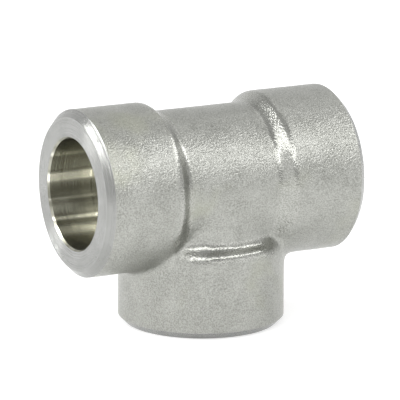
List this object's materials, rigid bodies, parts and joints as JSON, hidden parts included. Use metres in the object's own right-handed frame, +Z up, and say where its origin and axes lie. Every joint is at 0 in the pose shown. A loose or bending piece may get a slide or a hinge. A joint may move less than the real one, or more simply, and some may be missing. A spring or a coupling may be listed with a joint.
{
  "type": "socket weld tee",
  "caption": "Forged stainless steel pipe tee with thick collared ends, a socket in each end for a pipe to be welded into, and flow bores that meet inside.",
  "frame": {"origin": "centre of the branch's end face, on which the part stands", "axes": "+Z up the branch's axis to the run, X along the run's axis, Y across both axes"},
  "size_m": [0.057, 0.0332, 0.0451],
  "materials": {
    "forged_steel": "blasted forged skin, with turned end faces and bored sockets"
  },
  "bodies": {
    "root": {"tee_body": "forged_steel"}
  },
  "joints": []
}
